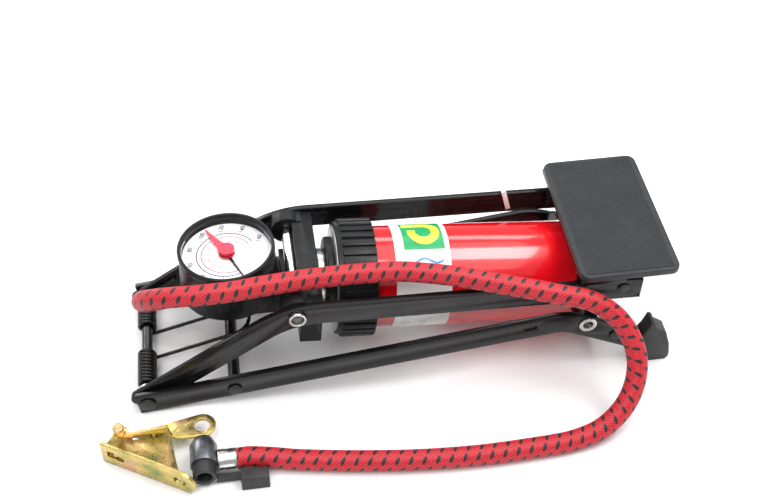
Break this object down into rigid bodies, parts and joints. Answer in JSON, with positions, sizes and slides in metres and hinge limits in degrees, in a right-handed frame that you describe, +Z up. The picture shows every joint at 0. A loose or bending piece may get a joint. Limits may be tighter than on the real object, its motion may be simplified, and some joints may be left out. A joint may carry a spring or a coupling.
{
  "type": "foot air pump",
  "caption": "Folded single-cylinder foot pump: pedal lever, swinging red barrel, dial gauge on the piston head, braided hose with a clip-on valve chuck.",
  "frame": {"origin": "on the floor, under the middle of the folded frame", "axes": "+X from the front axle to the pedal and rear feet, -Y the side with the free hose, +Z up"},
  "size_m": [0.3015, 0.1465, 0.0759],
  "materials": {
    "black_enamel": "glossy black stove enamel on flat steel",
    "black_steel": "semi-gloss black oxide and paint",
    "zinc_steel": "bright zinc plate",
    "bright_steel": "polished steel",
    "foot_rubber": "moulded black rubber",
    "tread_rubber": "dark blue-grey ribbed rubber",
    "tie_nylon": "white nylon",
    "red_enamel": "glossy red enamel",
    "label_film": "printed film with a plain pattern",
    "black_plastic": "fine-grained black moulding",
    "seal_rubber": "smooth black seal rubber",
    "pale_metal": "dull pale alloy",
    "piston_alloy": "turned alloy",
    "dial_white": "white printed dial",
    "lens_clear": "clear plastic glass",
    "bourdon_brass": "drawn brass tube",
    "needle_black": "matt black",
    "pointer_red": "bright red moulding",
    "outlet_alloy": "dark cast alloy",
    "ferrule_alloy": "bright crimped alloy",
    "hose_braid": "red textile braid with black flecks",
    "chuck_zinc": "dark zinc die-casting",
    "yellow_zinc": "yellow passivated zinc plate on pressed steel"
  },
  "bodies": {
    "base": {"base_bar_near": "black_enamel", "base_bar_far": "black_enamel", "mid_cross_tube": "black_enamel", "rear_cross_tube": "black_enamel", "front_axle": "black_steel", "axle_sleeve": "black_steel", "axle_washers": "zinc_steel", "torsion_spring": "black_steel", "frame_rivets": "black_steel", "rear_foot_near": "foot_rubber", "rear_foot_far": "foot_rubber", "rear_pivot_tube": "zinc_steel", "pivot_spacers": "black_enamel", "hose_lower": "hose_braid", "chuck_ferrule": "ferrule_alloy", "chuck_tube": "chuck_zinc", "chuck_grommet": "foot_rubber", "chuck_strap": "foot_rubber", "chuck_frame": "yellow_zinc", "chuck_rivet": "yellow_zinc"},
    "lever": {"lever_bar_near": "black_enamel", "lever_bar_far": "black_enamel", "lever_rivets": "zinc_steel", "spring_tails": "black_steel", "pedal_plate": "black_enamel", "pedal_pad": "tread_rubber", "pedal_rivets": "black_steel", "storage_tie": "tie_nylon"},
    "cylinder": {"cylinder_tube": "red_enamel", "cylinder_base": "red_enamel", "cylinder_cap": "black_plastic", "end_disc": "pale_metal", "gland_collar": "black_plastic", "gland_seal": "seal_rubber", "label_band": "label_film"},
    "rod": {"piston_rod": "bright_steel", "piston": "piston_alloy", "piston_cup": "seal_rubber", "rod_collar": "zinc_steel", "head_block": "black_plastic", "head_pin": "bright_steel", "check_ball": "zinc_steel", "gauge_body": "black_plastic", "gauge_case": "black_plastic", "gauge_bezel": "black_plastic", "gauge_dial": "dial_white", "gauge_lens": "lens_clear", "bourdon_tube": "bourdon_brass", "outlet_elbow": "outlet_alloy", "front_ferrule": "ferrule_alloy", "hose_upper": "hose_braid"},
    "needle": {"gauge_needle": "needle_black"},
    "pointer": {"target_pointer": "pointer_red"},
    "chuck_clip": {"chuck_lever": "yellow_zinc", "chuck_stud": "yellow_zinc"}
  },
  "joints": [
    {"name": "lever_hinge", "type": "hinge", "parent": "base", "child": "lever", "pos_m": [-0.135, 0, 0.0068], "axis": [0, -1, 0], "range_deg": [0, 40]},
    {"name": "cylinder_swing", "type": "hinge", "parent": "base", "child": "cylinder", "pos_m": [0.0964, 0, 0.0316], "axis": [0, 1, 0], "range_deg": [0, 9.71], "deforming": ["hose_lower"]},
    {"name": "rod_slide", "type": "slide", "parent": "cylinder", "child": "rod", "axis": [-0.9957, 0, 0.0924], "range_m": [0, 0.05895], "deforming": ["hose_upper"]},
    {"name": "needle_turn", "type": "hinge", "parent": "rod", "child": "needle", "pos_m": [-0.0865, 0.003, 0.066], "axis": [0, 0, 1], "range_deg": [-255, 0], "stiffness_Nm_per_rad": 0.0001},
    {"name": "pointer_turn", "type": "hinge", "parent": "rod", "child": "pointer", "pos_m": [-0.0865, 0.003, 0.067], "axis": [0, 0, 1], "range_deg": [-89, 175]},
    {"name": "clip_turn", "type": "hinge", "parent": "base", "child": "chuck_clip", "pos_m": [-0.1314, -0.0667, 0.011], "axis": [0, 1, 0], "range_deg": [0, 8]}
  ],
  "couplings": [
    {"joint": "cylinder_swing", "follows": "lever_hinge", "ratio": 0.24264},
    {"joint": "rod_slide", "follows": "lever_hinge", "m_per_rad": 0.084437}
  ]
}
